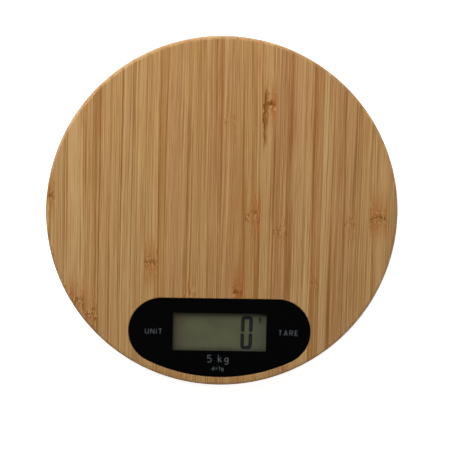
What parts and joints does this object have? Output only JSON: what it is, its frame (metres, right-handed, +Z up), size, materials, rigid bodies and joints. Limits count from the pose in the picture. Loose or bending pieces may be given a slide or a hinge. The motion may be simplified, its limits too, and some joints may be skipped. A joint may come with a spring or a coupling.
{
  "type": "kitchen scale",
  "caption": "Flat round electronic kitchen scale with a bamboo weighing platform, an inlaid display panel with touch-labelled keys, and load-cell feet under a shallow base.",
  "frame": {"origin": "on the table under the middle of the platform", "axes": "+Z up, +X to the user's right, the display towards -Y"},
  "size_m": [0.18, 0.18, 0.017],
  "materials": {
    "bamboo": "satin lacquered edge-glued bamboo",
    "black_abs": "textured black ABS moulding",
    "clear_pc": "hard-coated clear polycarbonate sheet",
    "black_film": "printed black polyester film",
    "white_tape": "double-sided foam tape",
    "white_abs": "white ABS moulding",
    "lcd_glass": "clear glass with a clear conductive coating",
    "polariser": "neutral polarising film",
    "reflector": "rear polariser with a silver backing",
    "foam": "black closed-cell foam",
    "zebra": "silicone rubber contact strip",
    "green_board": "green solder mask on glass-fibre laminate",
    "epoxy": "black potting epoxy",
    "chip_ceramic": "ceramic chip parts",
    "key_plastic": "grey ABS key",
    "switch_plastic": "black nylon switch body",
    "stem_plastic": "natural acetal stem",
    "grey_rubber": "dark grey soft rubber",
    "cell_steel": "nickel-plated spring steel",
    "gauge_film": "amber polyimide foil with white potting",
    "zinc_steel": "zinc-plated steel",
    "lead_pvc": "PVC insulated lead",
    "coin_steel": "bright stainless steel can",
    "contact_steel": "nickel-plated spring steel"
  },
  "bodies": {
    "scale": {"bamboo_platform": "bamboo", "base_cover": "black_abs", "display_overlay": "clear_pc", "mask_film": "black_film", "frame_tape": "white_tape", "display_frame": "black_abs", "lcd_front_glass": "lcd_glass", "lcd_rear_glass": "lcd_glass", "lcd_front_polariser": "polariser", "lcd_reflector": "reflector", "lcd_foam_pad": "foam", "zebra_strip": "zebra", "circuit_board": "green_board", "potted_chip": "epoxy", "surface_mount_parts": "chip_ceramic", "circuit_screws": "zinc_steel", "holder_screws": "zinc_steel", "cover_screws": "zinc_steel", "coin_cell": "coin_steel", "battery_plus_contact": "contact_steel", "battery_minus_contact": "contact_steel", "battery_plus_lead": "lead_pvc", "battery_minus_lead": "lead_pvc", "unit_switch_body": "switch_plastic", "tare_switch_body": "switch_plastic", "load_cell_front_left": "cell_steel", "strain_gauge_front_left": "gauge_film", "cell_holder_front_left": "white_abs", "cell_leads_front_left": "lead_pvc", "load_cell_front_right": "cell_steel", "strain_gauge_front_right": "gauge_film", "cell_holder_front_right": "white_abs", "cell_leads_front_right": "lead_pvc", "load_cell_rear_left": "cell_steel", "strain_gauge_rear_left": "gauge_film", "cell_holder_rear_left": "white_abs", "cell_leads_rear_left": "lead_pvc", "load_cell_rear_right": "cell_steel", "strain_gauge_rear_right": "gauge_film", "cell_holder_rear_right": "white_abs", "cell_leads_rear_right": "lead_pvc"},
    "foot_front_left_body": {"foot_front_left": "black_abs", "foot_pad_front_left": "grey_rubber"},
    "foot_front_right_body": {"foot_front_right": "black_abs", "foot_pad_front_right": "grey_rubber"},
    "foot_rear_left_body": {"foot_rear_left": "black_abs", "foot_pad_rear_left": "grey_rubber"},
    "foot_rear_right_body": {"foot_rear_right": "black_abs", "foot_pad_rear_right": "grey_rubber"},
    "unit_button": {"unit_key": "key_plastic", "unit_switch_stem": "stem_plastic"},
    "tare_button": {"tare_key": "key_plastic", "tare_switch_stem": "stem_plastic"},
    "door": {"battery_door": "black_abs"}
  },
  "joints": [
    {"name": "foot_front_left_press", "type": "slide", "parent": "scale", "child": "foot_front_left_body", "axis": [0, 0, 1], "range_m": [0, 0.0004], "stiffness_N_per_m": 250, "springref_m": -0.0024, "deforming": ["load_cell_front_left"]},
    {"name": "foot_front_right_press", "type": "slide", "parent": "scale", "child": "foot_front_right_body", "axis": [0, 0, 1], "range_m": [0, 0.0004], "stiffness_N_per_m": 250, "springref_m": -0.0024, "deforming": ["load_cell_front_right"]},
    {"name": "foot_rear_left_press", "type": "slide", "parent": "scale", "child": "foot_rear_left_body", "axis": [0, 0, 1], "range_m": [0, 0.0004], "stiffness_N_per_m": 250, "springref_m": -0.0024, "deforming": ["load_cell_rear_left"]},
    {"name": "foot_rear_right_press", "type": "slide", "parent": "scale", "child": "foot_rear_right_body", "axis": [0, 0, 1], "range_m": [0, 0.0004], "stiffness_N_per_m": 250, "springref_m": -0.0024, "deforming": ["load_cell_rear_right"]},
    {"name": "unit_press", "type": "slide", "parent": "scale", "child": "unit_button", "axis": [0, 0, -1], "range_m": [0, 0.00025], "stiffness_N_per_m": 6400},
    {"name": "tare_press", "type": "slide", "parent": "scale", "child": "tare_button", "axis": [0, 0, -1], "range_m": [0, 0.00025], "stiffness_N_per_m": 6400},
    {"name": "battery_door_hinge", "type": "hinge", "parent": "scale", "child": "door", "pos_m": [0, 0.0293, 0.00392], "axis": [1, 0, 0], "range_deg": [0, 35]}
  ]
}
